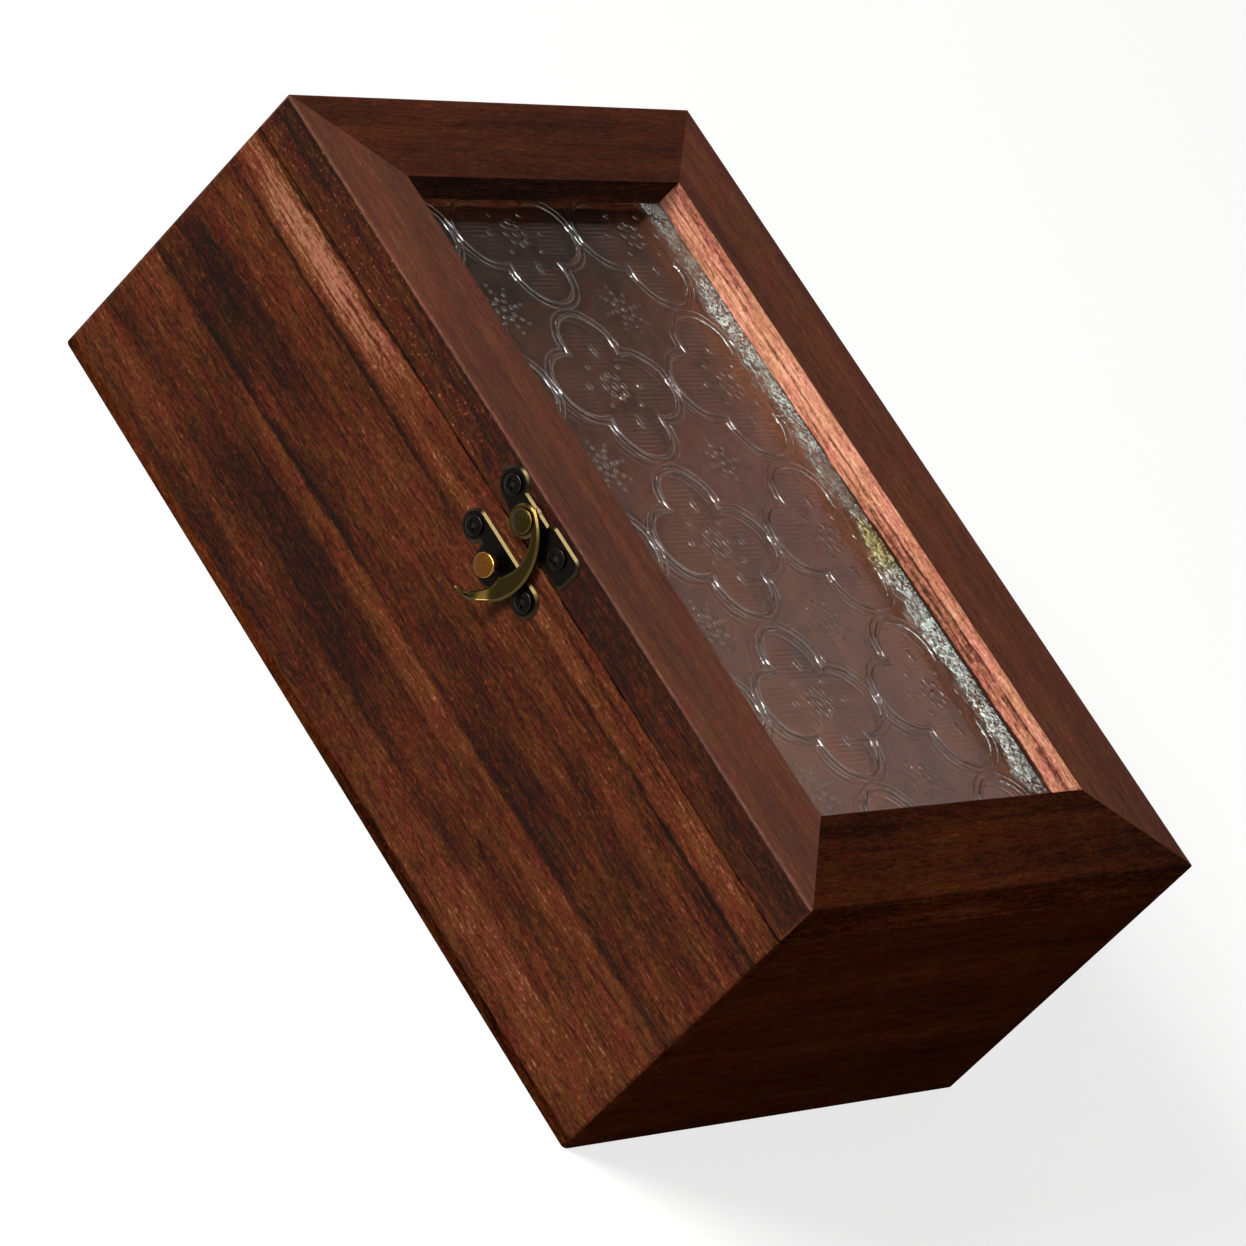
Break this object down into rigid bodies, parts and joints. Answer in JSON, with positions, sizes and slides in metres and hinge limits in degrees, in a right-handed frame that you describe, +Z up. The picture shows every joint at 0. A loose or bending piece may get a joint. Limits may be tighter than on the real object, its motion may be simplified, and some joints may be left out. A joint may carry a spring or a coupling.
{
  "type": "glass-lid storage box",
  "caption": "Rectangular wooden box with a mitred lid that holds a pressed-glass pane, back hinges and a swing-hook latch.",
  "frame": {"origin": "middle of the underside of the bottom board", "axes": "+X to the right along the front, +Y to the back, +Z up; the latch is on the -Y side"},
  "size_m": [0.23, 0.1603, 0.088],
  "materials": {
    "front_wood": "stained, open-grained, satin",
    "side_wood": "dark stained, satin",
    "frame_wood": "dark stained, satin",
    "bead_wood": "lightly stained",
    "dark_bronze": "blackened, rubbed bright at the edges",
    "aged_bronze": "antiqued, rubbed bright at the edges",
    "worn_brass": "antiqued and worn",
    "pressed_glass": "pressed in relief, glossy",
    "steel": "drawn wire"
  },
  "bodies": {
    "box": {"front_panel": "front_wood", "back_panel": "front_wood", "bottom_panel": "side_wood", "left_side_panel": "side_wood", "right_side_panel": "side_wood", "catch_plate": "dark_bronze", "catch_knob": "worn_brass", "catch_screws": "dark_bronze", "hinge_left_box_leaf": "aged_bronze", "hinge_right_box_leaf": "aged_bronze", "hinge_left_pin": "worn_brass", "hinge_right_pin": "worn_brass", "hinge_box_screws": "worn_brass"},
    "lid": {"lid_front_rail": "frame_wood", "lid_back_rail": "frame_wood", "lid_left_rail": "frame_wood", "lid_right_rail": "frame_wood", "lid_glass": "pressed_glass", "glass_bead_front": "bead_wood", "glass_bead_back": "bead_wood", "glass_bead_left": "bead_wood", "glass_bead_right": "bead_wood", "bead_brads": "steel", "latch_plate": "dark_bronze", "latch_washer": "aged_bronze", "latch_rivet": "aged_bronze", "latch_screws": "dark_bronze", "hinge_left_lid_leaf": "aged_bronze", "hinge_right_lid_leaf": "aged_bronze", "hinge_lid_screws": "worn_brass"},
    "hook": {"latch_hook": "aged_bronze"}
  },
  "joints": [
    {"name": "lid_hinge", "type": "hinge", "parent": "box", "child": "lid", "pos_m": [0, 0.077, 0.0768], "axis": [-1, 0, 0], "range_deg": [0, 180]},
    {"name": "hook_swing", "type": "hinge", "parent": "lid", "child": "hook", "pos_m": [0.0028, -0.077, 0.0811], "axis": [0, -1, 0], "range_deg": [-9, 120]}
  ]
}
